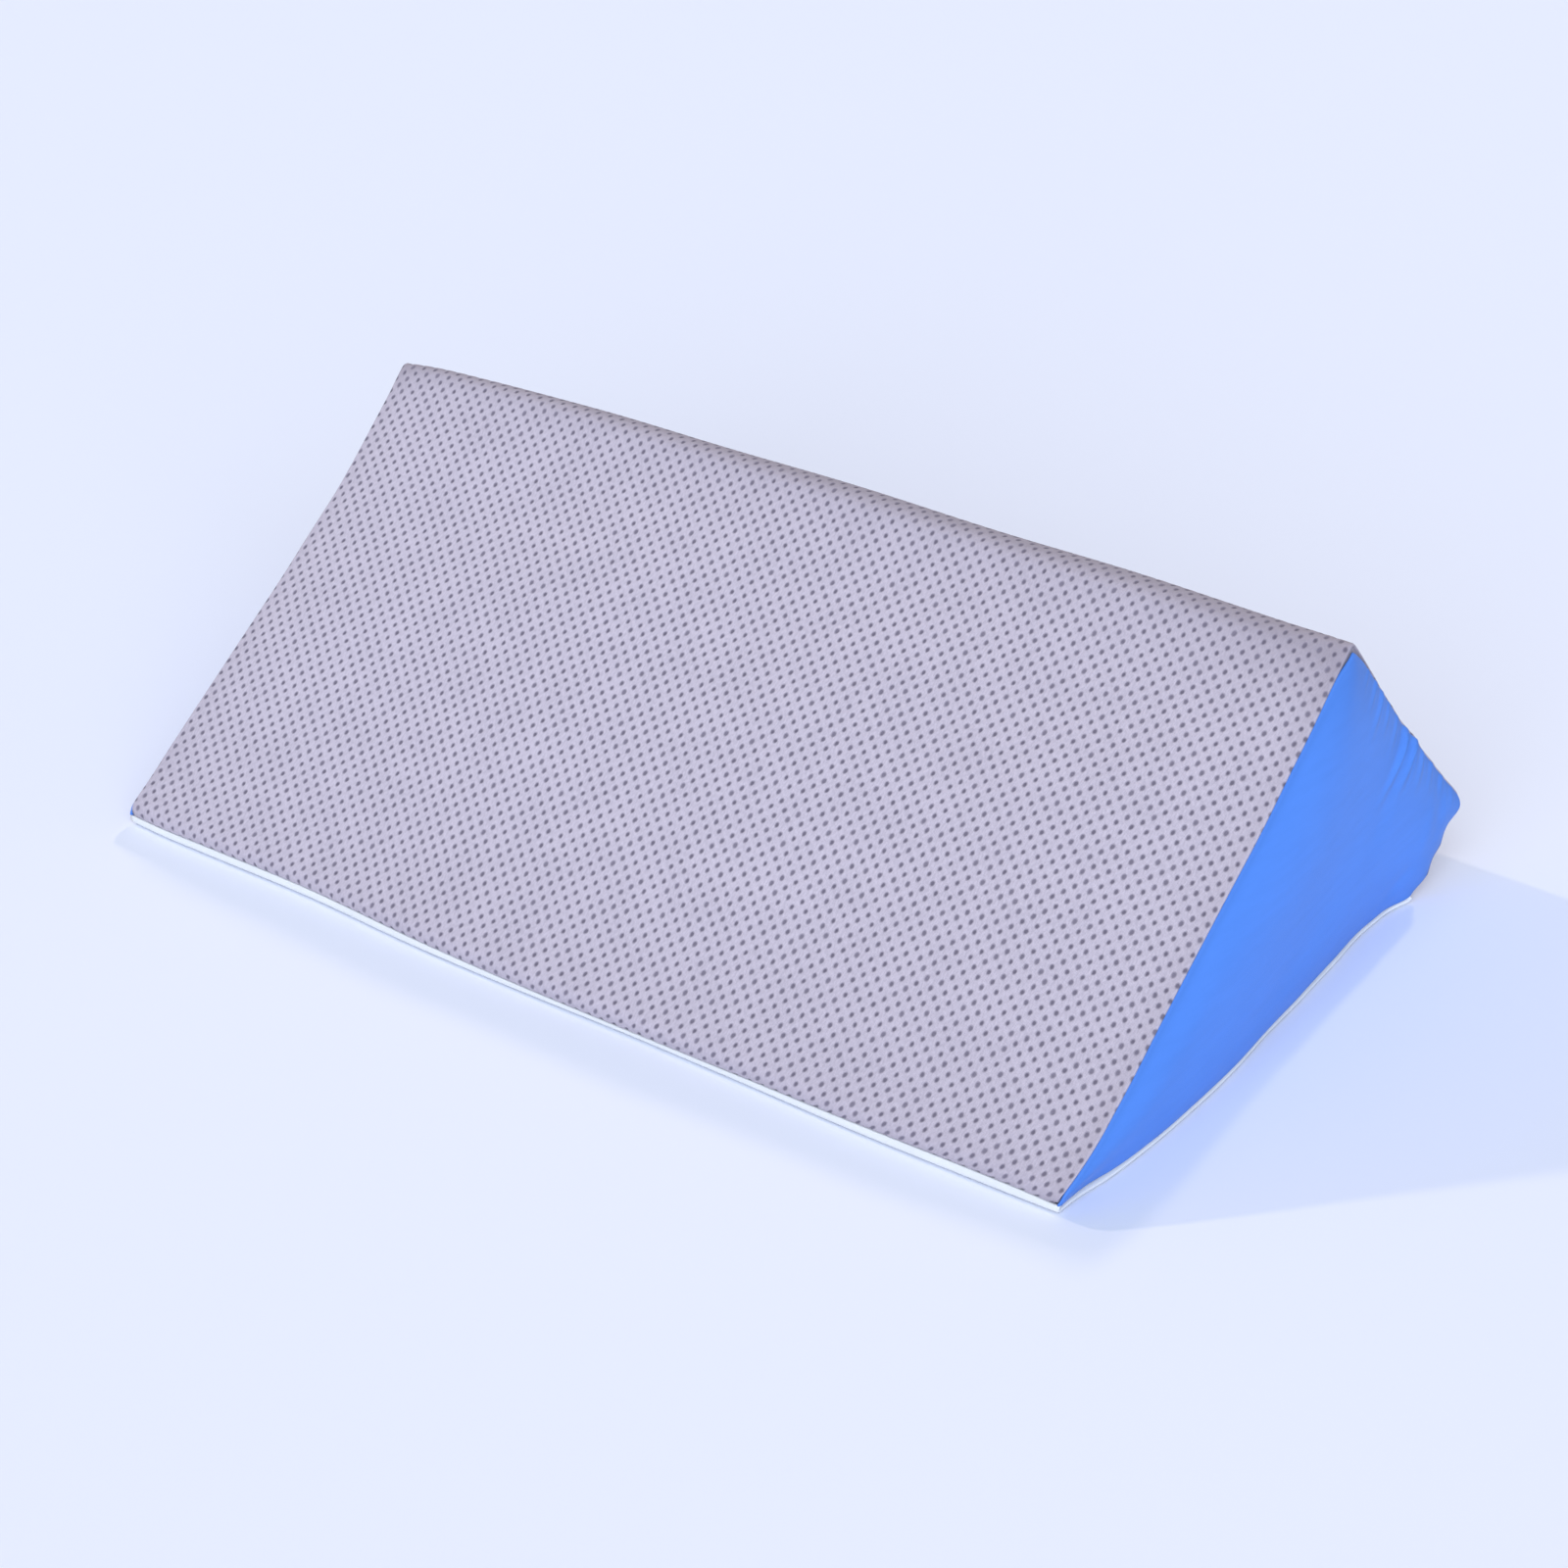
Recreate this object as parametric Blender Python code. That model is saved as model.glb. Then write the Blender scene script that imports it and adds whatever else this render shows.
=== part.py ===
import math

import bmesh
import bpy

# Wedge pillow, in metres: +X along the ridge, +Y from the front toe to the heel, +Z up.
# The origin is under the middle of the pillow, on the plane that it rests on.

LENGTH = 0.600  # between the corners of the two end seams
MIDDLE_X = -0.0031  # of the corners, as the right end bulges more than the left

# A section is a belt round four circles: toe, ridge, heel, and the tuck where the heel turns
# under to the floor. The places are those at the end seams.
TOE_Y = -0.1620  # foremost point of the toe
TOE_Z = 0.0075  # height of its circle's centre
TOE_RADIUS = 0.008
RIDGE_Y = 0.0635
RIDGE_Z = 0.1700  # top of the ridge
HEEL_Y = 0.1640  # hindmost point of the heel
HEEL_Z = 0.0370
HEEL_RADIUS = 0.012
TUCK_Y = 0.1240  # where the floor contact ends
TUCK_RADIUS = 0.006

SLOPE_CROWN = 0.005  # how far the middle of the long slope stands proud
BACK_CROWN = 0.004
HEEL_CROWN = 0.0015
END_CROWN = 0.009
END_CROWN_POWER = 2.6
END_MIDDLE_Z = 0.060  # height of the crowned ends' middle point
END_MIDDLE_SHIFT = {"right": 0.0, "left": -0.0055}  # of that point's seam level, along X

CLOTH = 0.0016  # thickness of the sewn-on panels
GAP = 0.0004  # between a panel and the filled body
STEP = CLOTH + GAP
RIM_RADIUS = 0.0022  # where the base cloth turns up from the floor to the front seam
SEAM_GAP = 0.0005  # between the edges of the base cloth and the wrap
RIM_MITRE = 0.0008  # how much lower the base cloth's inner edge ends than its outer one
TUCK_MITRE = 0.0026

# Steps along each stretch of a section.
TOE_STEPS = 5
SLOPE_STEPS = 12
RIDGE_STEPS = 7
BACK_STEPS = 16
HEEL_STEPS = 5
HEEL_FACE_STEPS = 3
TUCK_STEPS = 2
SOLE_STEPS = 10
RIM_STEPS = 3
PUCKERED_STEPS = 40  # of an end panel along its gathered back seam

# How the pillow's lines change along its length, in millimetres, against the place from the
# left end (0) to the right end (1).
ALONG = (
    # place, front bow, front seam height, ridge lift, ridge radius, heel bow
    (0.00, 0.0, 5.0, 0.0, 3.5, 0.0),
    (0.04, 1.0, 5.3, 2.2, 6.0, 1.2),
    (0.10, 0.8, 5.6, 3.7, 8.5, 2.2),
    (0.22, 0.3, 5.6, 4.1, 11.0, 3.0),
    (0.36, 3.5, 5.0, 4.5, 13.0, 3.6),
    (0.48, 3.8, 4.0, 3.7, 14.0, 3.2),
    (0.58, 3.0, 3.4, 2.8, 15.0, 3.4),
    (0.70, 2.4, 4.2, 1.3, 16.0, 3.6),
    (0.82, 2.4, 5.5, 0.3, 16.0, 2.8),
    (0.92, 1.1, 5.8, -0.5, 13.0, 1.5),
    (0.97, 0.4, 5.4, -0.2, 8.0, 0.6),
    (1.00, 0.0, 4.6, 0.0, 3.5, 0.0),
)
STATIONS = (0.0, 0.012, 0.03, 0.055, 0.09, 0.13, 0.18, 0.24, 0.30, 0.36, 0.42, 0.48, 0.54,
            0.60, 0.66, 0.72, 0.78, 0.83, 0.88, 0.92, 0.95, 0.972, 0.988, 1.0)

# How far each end seam stands out (+) or draws in (-) at places round the end, in millimetres:
# up the slope from the toe, down the back, and forward along the floor.
END_SEAMS = {
    # behind the toe, height, shift
    "right": (
        (0, 5, 0.0), (6, 14, 4.3), (16, 24, 6.5), (32, 35, 6.8), (69, 61, 6.0), (113, 93, 5.3),
        (146, 116, 5.0), (168, 132, 3.9), (190, 148, 2.9), (208, 160, 1.6), (226, 170, 0.6),
        (244, 150, -2.6), (272, 113, -8.7), (280, 101, -9.6), (292, 86, -9.8), (305, 68, -11.4),
        (318, 52, -11.0), (326, 37, -10.8), (322, 28, -12.6), (315, 21, -13.0),
        (307, 14, -12.4), (298, 7, -12.5), (288, 1, -15.0), (278, 0, -18.0), (262, 0, -18.6),
        (225, 0, -14.4), (190, 0, -9.8), (153, 0, -5.6), (115, 0, -0.5), (90, 0, 1.0),
        (60, 0, 1.8), (30, 0, 0.6), (14, 0, -1.6)),
    "left": (
        (0, 5, -0.2), (12, 20, -2.2), (29, 33, -2.9), (60, 55, -4.5), (80, 69, -5.6),
        (113, 93, -7.6), (135, 109, -8.0), (160, 126, -8.6), (190, 148, -6.2),
        (210, 162, -4.1), (226, 170, -2.0), (250, 142, -5.0), (280, 101, -8.0),
        (305, 68, -9.0), (326, 37, -9.0), (290, 2, -9.0), (255, 0, -10.0), (205, 0, -7.5),
        (150, 0, -5.0), (90, 0, -2.5), (40, 0, -1.0)),
}

# Puckers where an end panel is gathered into its back seam: the place down the seam from the
# ridge (0) to the heel (1), then width, reach and rise in millimetres.
PUCKERS = {
    "right": ((0.14, 6, 16, 0.7), (0.24, 7, 24, 1.0), (0.35, 5, 14, 0.6), (0.45, 8, 30, 1.1),
              (0.56, 6, 20, 1.0), (0.66, 8, 34, 1.4), (0.76, 6, 24, 1.2), (0.86, 8, 30, 1.3),
              (0.95, 7, 22, 0.9)),
    "left": ((0.18, 7, 20, 0.8), (0.31, 6, 16, 0.6), (0.44, 8, 26, 1.0), (0.58, 7, 22, 1.1),
             (0.71, 8, 30, 1.2), (0.84, 7, 24, 1.0), (0.94, 6, 18, 0.8)),
}

# Rings of a crowned end, as shares of the way from its middle point to its seam.
BODY_RINGS = (0.30, 0.56, 0.76, 0.90)
PANEL_RINGS = (0.28, 0.48, 0.62, 0.72, 0.80, 0.87, 0.93, 0.975, 1.0)

# Base colour and roughness.
CLOTHS = {
    "dotted_cloth": ((0.47, 0.45, 0.56, 1.0), 0.95),
    "blue_cloth": ((0.10, 0.27, 0.82, 1.0), 0.80),
    "white_cloth": ((0.84, 0.86, 0.89, 1.0), 0.85),
}
MM = 0.001
DOWN = -math.pi / 2
FORWARD = math.pi


def between_rows(rows, place, column):
    """Reads a table of rows at a place between its rows, easing a little at each row."""
    if place <= rows[0][0]:
        return rows[0][column]
    for low, high in zip(rows, rows[1:]):
        if place <= high[0]:
            share = (place - low[0]) / (high[0] - low[0])
            share = 0.5 * (share + share * share * (3 - 2 * share))
            return low[column] + share * (high[column] - low[column])
    return rows[-1][column]


def angle_round_end(y, z):
    """The direction of a point from the end's middle, turning from straight down to the back."""
    return (math.atan2(z - END_MIDDLE_Z, y - RIDGE_Y) - DOWN) % (2 * math.pi)


def by_angle(rows):
    """An end seam's rows as (angle, shift), one row past the full turn at each end."""
    turned = sorted((angle_round_end(TOE_Y + behind * MM, height * MM), shift)
                    for behind, height, shift in rows)
    before = (turned[-1][0] - 2 * math.pi, turned[-1][1])
    after = (turned[0][0] + 2 * math.pi, turned[0][1])
    return [before] + turned + [after]


SEAMS_BY_ANGLE = {side: by_angle(rows) for side, rows in END_SEAMS.items()}


def seam_x(side, y, z):
    """Where an end's cloth meets its seam along X."""
    shift = between_rows(SEAMS_BY_ANGLE[side], angle_round_end(y, z), 1)
    half = LENGTH / 2 + shift * MM
    return MIDDLE_X + (half if side == "right" else -half)


def arc(centre, radius, start, end, steps):
    """Points (y, z) round a circle from one angle to another, both included."""
    angles = [start + (end - start) * i / steps for i in range(steps + 1)]
    return [(centre[0] + radius * math.cos(a), centre[1] + radius * math.sin(a)) for a in angles]


def belt_normal(centre_a, radius_a, centre_b, radius_b):
    """The angle of the outward normal of a belt that runs from circle a to circle b."""
    dy, dz = centre_b[0] - centre_a[0], centre_b[1] - centre_a[1]
    return math.atan2(dz, dy) + math.acos((radius_a - radius_b) / math.hypot(dy, dz))


def crowned(start, end, normal, crown, steps):
    """Points between the two ends of a straight stretch, lifted along its normal."""
    points = []
    for i in range(1, steps):
        share = i / steps
        lift = crown * 4 * share * (1 - share)
        points.append((start[0] + share * (end[0] - start[0]) + lift * math.cos(normal),
                       start[1] + share * (end[1] - start[1]) + lift * math.sin(normal)))
    return points


def belt_at(place):
    """The circles and tangent angles of the section at a place along the length."""
    bow, seam, lift, ridge_radius, heel_bow = (
        between_rows(ALONG, place, column) * MM for column in range(1, 6))
    toe = (TOE_Y - bow + TOE_RADIUS, TOE_Z)
    ridge = (RIDGE_Y, RIDGE_Z + lift - ridge_radius)
    heel = (HEEL_Y + heel_bow - HEEL_RADIUS, HEEL_Z)
    tuck = (TUCK_Y + heel_bow, TUCK_RADIUS)
    return {
        "toe": toe, "ridge": ridge, "heel": heel, "tuck": tuck,
        "seam": seam, "ridge_radius": ridge_radius,
        "front": belt_normal(toe, TOE_RADIUS, ridge, ridge_radius),
        "back": belt_normal(ridge, ridge_radius, heel, HEEL_RADIUS),
        "under_heel": belt_normal(heel, HEEL_RADIUS, tuck, TUCK_RADIUS),
        "front_seam": FORWARD + math.asin((TOE_Z - seam) / TOE_RADIUS),
    }


def wrap_line(place, back_steps=BACK_STEPS):
    """The dotted cloth's section, from the front seam over the ridge and heel to the tuck."""
    belt = belt_at(place)
    swell = 1 - abs(2 * place - 1) ** 3
    toe = arc(belt["toe"], TOE_RADIUS, belt["front_seam"], belt["front"], TOE_STEPS)
    ridge = arc(belt["ridge"], belt["ridge_radius"], belt["front"], belt["back"], RIDGE_STEPS)
    heel = arc(belt["heel"], HEEL_RADIUS, belt["back"], belt["under_heel"], HEEL_STEPS)
    end = arc(belt["tuck"], TUCK_RADIUS, belt["under_heel"], DOWN, 1)[0]
    slope = crowned(toe[-1], ridge[0], belt["front"], SLOPE_CROWN * swell, SLOPE_STEPS)
    back = crowned(ridge[-1], heel[0], belt["back"], BACK_CROWN * swell, back_steps)
    heel_face = crowned(heel[-1], end, belt["under_heel"], HEEL_CROWN, HEEL_FACE_STEPS)
    return toe + slope + ridge + back + heel + heel_face + [end]


def floor_line(place, inward, seam_gap):
    """The base's section from the tuck along the floor and up its rim, moved inward.

    seam_gap is left open at each of its two seams, whose walls slant.
    """
    belt = belt_at(place)
    depth = inward / STEP
    tuck_end = belt["under_heel"] - (seam_gap + TUCK_MITRE * depth) / TUCK_RADIUS
    tuck = arc(belt["tuck"], TUCK_RADIUS - inward, tuck_end, DOWN, TUCK_STEPS)
    front_y = belt["toe"][0] + TOE_RADIUS * math.cos(belt["front_seam"])
    rim_centre = (front_y + RIM_RADIUS, RIM_RADIUS)
    rim = arc(rim_centre, RIM_RADIUS - inward, 2 * math.pi + DOWN, FORWARD, RIM_STEPS)
    rim_top = (front_y + inward, belt["seam"] - seam_gap - RIM_MITRE * depth)
    return tuck + crowned(tuck[-1], rim[0], DOWN, 0.0, SOLE_STEPS) + rim + [rim_top]


def body_outline(place, back_steps=BACK_STEPS):
    """The closed outline of the filled body: the wrap, and the line above the base cloth."""
    return wrap_line(place, back_steps) + floor_line(place, STEP, 0.0)


def station_ring(line, place, inset):
    """Puts a section's points at their place between the two end seams."""
    ring = []
    for y, z in line:
        left, right = seam_x("left", y, z) + inset, seam_x("right", y, z) - inset
        ring.append((left + place * (right - left), y, z))
    return ring


def end_ring(line, side, share, inset):
    """A ring of an end's crowned face, at a share of the way from its middle to its seam."""
    outward = 1 if side == "right" else -1
    swollen = END_CROWN * (1 - share ** END_CROWN_POWER)
    middle_x = MIDDLE_X + outward * (LENGTH / 2 + END_MIDDLE_SHIFT[side])
    return [(middle_x + share * (seam_x(side, y, z) - middle_x) + outward * (swollen - inset),
             RIDGE_Y + share * (y - RIDGE_Y),
             END_MIDDLE_Z + share * (z - END_MIDDLE_Z)) for y, z in line]


def end_middle(side, inset):
    return end_ring([(RIDGE_Y, END_MIDDLE_Z)], side, 0.0, inset)[0]


def cloth_material(name):
    colour, roughness = CLOTHS[name]
    material = bpy.data.materials.get(name) or bpy.data.materials.new(name)
    material.use_nodes = True
    shader = material.node_tree.nodes["Principled BSDF"]
    shader.inputs["Base Color"].default_value = colour
    shader.inputs["Roughness"].default_value = roughness
    shader.inputs["Metallic"].default_value = 0.0
    return material


def close_to_point(bm, loop, middle):
    """Shuts a ring with a fan to its middle point."""
    middle = bm.verts.new(middle)
    for i in range(len(loop)):
        bm.faces.new((loop[i - 1], loop[i], middle))


def close_as_strip(bm, loop):
    """Shuts a thin ring whose second half runs back along its first."""
    for i in range(len(loop) // 2 - 1):
        bm.faces.new((loop[i], loop[i + 1], loop[-2 - i], loop[-1 - i]))


def cloth_object(name, rings, cloth, middles=None):
    """Lofts rings of points into one closed mesh, shut at each end.

    middles are the points that its first and last rings close to; without them, they are thin.
    """
    bm = bmesh.new()
    loops = [[bm.verts.new(point) for point in ring] for ring in rings]
    for low, high in zip(loops, loops[1:]):
        for i in range(len(low)):
            bm.faces.new((low[i - 1], low[i], high[i], high[i - 1]))
    for loop, middle in zip((loops[0], loops[-1]), middles or (None, None)):
        if middles:
            close_to_point(bm, loop, middle)
        else:
            close_as_strip(bm, loop)
    bmesh.ops.recalc_face_normals(bm, faces=bm.faces[:])
    mesh = bpy.data.meshes.new(name)
    bm.to_mesh(mesh)
    bm.free()
    mesh.materials.append(cloth_material(cloth))
    mesh.shade_smooth()
    mesh.set_sharp_from_angle(angle=math.radians(40))
    made = bpy.data.objects.new(name, mesh)
    bpy.context.scene.collection.objects.link(made)
    return made


def dotted_body():
    """The filled wedge in its dotted cloth, stepped in where the other panels are sewn on."""
    left, right = body_outline(0.0), body_outline(1.0)
    rings = [end_ring(left, "left", share, STEP) for share in BODY_RINGS]
    rings += [station_ring(body_outline(place), place, STEP) for place in STATIONS]
    rings += [end_ring(right, "right", share, STEP) for share in reversed(BODY_RINGS)]
    middles = end_middle("left", STEP), end_middle("right", STEP)
    return cloth_object("dotted_body", rings, "dotted_cloth", middles)


def pucker_rise(side, down_seam, from_seam):
    """The gathers' height at a place down the back seam and a distance in from it."""
    seam_length = math.hypot(RIDGE_Z - HEEL_Z, HEEL_Y - RIDGE_Y)
    total = 0.0
    for place, width, reach, rise in PUCKERS[side]:
        across = (down_seam - place) * seam_length / (0.5 * width * MM)
        along = from_seam / (reach * MM)
        fade = max(0.0, 1 - along) ** 1.5 * min(1.0, 0.25 + 3 * along)
        total += rise * MM * math.exp(-across * across) * fade
    return total


def end_panel(side):
    """A crowned end of plain cloth, gathered into puckers along its back seam."""
    outward = 1 if side == "right" else -1
    line = body_outline(0.0 if side == "left" else 1.0, PUCKERED_STEPS)
    first_gathered = TOE_STEPS + SLOPE_STEPS + RIDGE_STEPS
    outer = []
    for share in PANEL_RINGS:
        ring = end_ring(line, side, share, 0.0)
        for i in range(first_gathered, first_gathered + PUCKERED_STEPS + HEEL_STEPS):
            down_seam = (i - first_gathered) / PUCKERED_STEPS
            from_seam = math.dist(ring[i][1:], line[i])
            x, y, z = ring[i]
            ring[i] = (x + outward * pucker_rise(side, down_seam, from_seam), y, z)
        outer.append(ring)
    inner = [end_ring(line, side, share, CLOTH) for share in reversed(PANEL_RINGS)]
    middles = end_middle(side, 0.0), end_middle(side, CLOTH)
    return cloth_object(f"blue_end_{side}", outer + inner, "blue_cloth", middles)


def white_base():
    """The base cloth: flat on the floor, with a rim turned up to the front seam."""
    rings = []
    for place in STATIONS:
        outer = station_ring(floor_line(place, 0.0, SEAM_GAP), place, 0.0)
        inner = station_ring(floor_line(place, CLOTH, SEAM_GAP), place, 0.0)
        rings.append(outer + inner[::-1])
    return cloth_object("white_base", rings, "white_cloth")


for old in list(bpy.data.objects):
    bpy.data.objects.remove(old, do_unlink=True)
dotted_body()
end_panel("left")
end_panel("right")
white_base()
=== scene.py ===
import math
import bmesh
import bpy
import numpy as np
from mathutils import Matrix, Vector


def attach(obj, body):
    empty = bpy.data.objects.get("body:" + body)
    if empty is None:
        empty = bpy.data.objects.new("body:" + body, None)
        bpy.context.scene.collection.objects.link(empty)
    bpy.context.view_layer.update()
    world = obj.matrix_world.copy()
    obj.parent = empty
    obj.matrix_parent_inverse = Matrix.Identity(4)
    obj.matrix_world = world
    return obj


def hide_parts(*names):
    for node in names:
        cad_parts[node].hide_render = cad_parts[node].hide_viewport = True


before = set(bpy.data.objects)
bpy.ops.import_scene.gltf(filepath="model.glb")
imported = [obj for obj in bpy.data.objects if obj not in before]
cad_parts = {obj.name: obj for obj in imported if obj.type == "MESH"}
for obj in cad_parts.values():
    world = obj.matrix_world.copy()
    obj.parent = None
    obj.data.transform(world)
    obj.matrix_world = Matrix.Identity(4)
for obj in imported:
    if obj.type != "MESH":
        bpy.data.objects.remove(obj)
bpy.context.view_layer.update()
mm = 0.001
outwards = {"left": -1, "right": 1}   # the way out of each end, along X

camera = {"azimuth": 44.237, "elevation": 29.747, "roll": 6.028, "lens": 90.91,
          "distance": 1.9072, "target": (0.0183, -0.0123, 0.05)}


def makeCamera():
    az, el, roll = (math.radians(camera[name]) for name in ("azimuth", "elevation", "roll"))
    back = Vector((math.sin(az) * math.cos(el), -math.cos(az) * math.cos(el), math.sin(el)))
    right = Vector((math.cos(az), math.sin(az), 0))
    turn = Matrix((right, back.cross(right), back)).transposed() @ Matrix.Rotation(-roll, 3, "Z")
    data = bpy.data.cameras.new("camera")
    data.lens = camera["lens"]
    data.clip_start, data.clip_end = 0.05, 20
    made = bpy.data.objects.new("camera", data)
    made.matrix_world = turn.to_4x4()
    made.location = Vector(camera["target"]) + back * camera["distance"]
    bpy.context.scene.collection.objects.link(made)
    bpy.context.scene.camera = made
    print("camera placed")


# The wedge's section and its end seams, with the same numbers as the construction
wedge = {
    "length": 0.600, "middleX": -0.0031,
    "toeY": -0.1620, "toeZ": 0.0075, "toeRadius": 0.008,
    "ridgeY": 0.0635, "ridgeZ": 0.1700,
    "heelY": 0.1640, "heelZ": 0.0370, "heelRadius": 0.012,
    "tuckY": 0.1240, "tuckRadius": 0.006,
    "slopeCrown": 0.005, "backCrown": 0.004, "heelCrown": 0.0015,
    "endCrown": 0.009, "endMiddleZ": 0.060, "endMiddleBefore": 0.012,
    "cloth": 0.0016, "gap": 0.0004, "rimRadius": 0.0022,
    "rimMitre": 0.0008, "tuckMitre": 0.0026, "seamGap": 0.0003,
}
step = wedge["cloth"] + wedge["gap"]

# place along the length, then in mm: front bow, front seam height, ridge lift, ridge radius,
# heel bow
along = (
    (0.00, 0.0, 5.0, 0.0, 3.5, 0.0),
    (0.04, 1.0, 5.3, 2.2, 6.0, 1.2),
    (0.10, 0.8, 5.6, 3.7, 8.5, 2.2),
    (0.22, 0.3, 5.6, 4.1, 11.0, 3.0),
    (0.36, 3.5, 5.0, 4.5, 13.0, 3.6),
    (0.48, 3.8, 4.0, 3.7, 14.0, 3.2),
    (0.58, 3.0, 3.4, 2.8, 15.0, 3.4),
    (0.70, 2.4, 4.2, 1.3, 16.0, 3.6),
    (0.82, 2.4, 5.5, 0.3, 16.0, 2.8),
    (0.92, 1.1, 5.8, -0.5, 13.0, 1.5),
    (0.97, 0.4, 5.4, -0.2, 8.0, 0.6),
    (1.00, 0.0, 4.6, 0.0, 3.5, 0.0),
)

# behind the toe, height, and how far the end seam stands out there, in mm
endSeams = {
    "right": (
        (0, 5, 0.0), (6, 14, 4.3), (16, 24, 6.5), (32, 35, 6.8), (69, 61, 6.0), (113, 93, 5.3),
        (146, 116, 5.0), (168, 132, 3.9), (190, 148, 2.9), (208, 160, 1.6), (226, 170, 0.6),
        (244, 150, -2.6), (272, 113, -8.7), (280, 101, -9.6), (292, 86, -9.8), (305, 68, -11.4),
        (318, 52, -11.0), (326, 37, -10.8), (322, 28, -12.6), (315, 21, -13.0),
        (307, 14, -12.4), (298, 7, -12.5), (288, 1, -15.0), (278, 0, -18.0), (262, 0, -18.6),
        (225, 0, -14.4), (190, 0, -9.8), (153, 0, -5.6), (115, 0, -0.5), (90, 0, 1.0),
        (60, 0, 1.8), (30, 0, 0.6), (14, 0, -1.6)),
    "left": (
        (0, 5, -0.2), (12, 20, -2.2), (29, 33, -2.9), (60, 55, -4.5), (80, 69, -5.6),
        (113, 93, -7.6), (135, 109, -8.0), (160, 126, -8.6), (190, 148, -6.2),
        (210, 162, -4.1), (226, 170, -2.0), (250, 142, -5.0), (280, 101, -8.0),
        (305, 68, -9.0), (326, 37, -9.0), (290, 2, -9.0), (255, 0, -10.0), (205, 0, -7.5),
        (150, 0, -5.0), (90, 0, -2.5), (40, 0, -1.0)),
}


def bell(away, width):   # 1 at no distance, fading within about this width
    return np.exp(-(away / width) ** 2)


def curveThrough(places, values):   # a smooth curve through points, as a function
    places, values = np.array(places, float), np.array(values, float)
    slopes = np.gradient(values, places)

    def read(at):
        at = np.clip(at, places[0], places[-1])
        i = np.clip(np.searchsorted(places, at) - 1, 0, len(places) - 2)
        width = places[i + 1] - places[i]
        t = (at - places[i]) / width
        rise = values[i] * (1 + 2 * t) * (1 - t) ** 2 + values[i + 1] * t * t * (3 - 2 * t)
        return rise + width * (slopes[i] * t * (1 - t) ** 2 - slopes[i + 1] * t * t * (1 - t))
    return read


alongCurves = [curveThrough([row[0] for row in along], [row[c] * mm for row in along])
               for c in range(1, 6)]


def angleRoundEnd(y, z):   # from straight below the end's middle
    return (np.arctan2(z - wedge["endMiddleZ"], y - wedge["ridgeY"]) + math.pi / 2) % (2 * math.pi)


def seamCurve(side):
    rows = sorted((float(angleRoundEnd(wedge["toeY"] + behind * mm, height * mm)), shift * mm)
                  for behind, height, shift in endSeams[side])
    whole = 2 * math.pi
    rows = [(a - whole, s) for a, s in rows[-3:]] + rows + [(a + whole, s) for a, s in rows[:3]]
    return curveThrough([a for a, _ in rows], [s for _, s in rows])


seamCurves = {side: seamCurve(side) for side in endSeams}


# small waves in the end seams: behind the toe, height, and how far they stand out, in mm
ripples = {
    "width": 4.0,
    "right": (
        (254, 132, -0.4), (267, 115, 0.5), (276, 103, -0.6), (286, 91, 0.9), (295, 79, -0.8),
        (303, 68, 0.8), (314, 53, -0.5), (325, 33, 0.4), (319, 25, -0.8), (313, 19, 0.7),
        (307, 14, -0.7), (300, 8, 0.6), (292, 3, -0.6)),
    "left": (
        (262, 122, 0.5), (276, 103, -0.6), (290, 85, 0.7), (304, 67, -0.6), (318, 48, 0.5),
        (316, 22, -0.6), (304, 12, 0.5)),
}


def seamX(side, y, z):   # where an end's cloth meets its seam
    half = wedge["length"] / 2 + seamCurves[side](angleRoundEnd(y, z))
    for behind, height, rise in ripples[side]:
        away = np.hypot(y - wedge["toeY"] - behind * mm, z - height * mm)
        half = half + rise * mm * bell(away, ripples["width"] * mm)
    return wedge["middleX"] + outwards[side] * half


def arc(centre, radius, start, end, count):
    angles = np.linspace(start, end, count)
    return np.stack((centre[0] + radius * np.cos(angles), centre[1] + radius * np.sin(angles)), 1)


def beltNormal(a, radiusA, b, radiusB):   # of the line that touches two circles
    dy, dz = b[0] - a[0], b[1] - a[1]
    return math.atan2(dz, dy) + math.acos((radiusA - radiusB) / math.hypot(dy, dz))


def stretch(start, end, normal, crown, count):   # its crown runs smoothly into what it joins
    share = np.linspace(0, 1, count + 2)[1:-1, None]
    lift = crown * 16 * (share * (1 - share)) ** 2
    return start + share * (end - start) + lift * np.array((math.cos(normal), math.sin(normal)))


def beltAt(place):   # the circles and angles that a section is drawn round
    bow, seam, lift, ridgeRadius, heelBow = (float(curve(place)) for curve in alongCurves)
    toe = (wedge["toeY"] - bow + wedge["toeRadius"], wedge["toeZ"])
    ridge = (wedge["ridgeY"], wedge["ridgeZ"] + lift - ridgeRadius)
    heel = (wedge["heelY"] + heelBow - wedge["heelRadius"], wedge["heelZ"])
    tuck = (wedge["tuckY"] + heelBow, wedge["tuckRadius"])
    return {
        "toe": toe, "ridge": ridge, "heel": heel, "tuck": tuck, "seam": seam,
        "ridgeRadius": ridgeRadius,
        "front": beltNormal(toe, wedge["toeRadius"], ridge, ridgeRadius),
        "back": beltNormal(ridge, ridgeRadius, heel, wedge["heelRadius"]),
        "underHeel": beltNormal(heel, wedge["heelRadius"], tuck, wedge["tuckRadius"]),
        "frontSeam": math.pi + math.asin((wedge["toeZ"] - seam) / wedge["toeRadius"]),
    }


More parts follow.
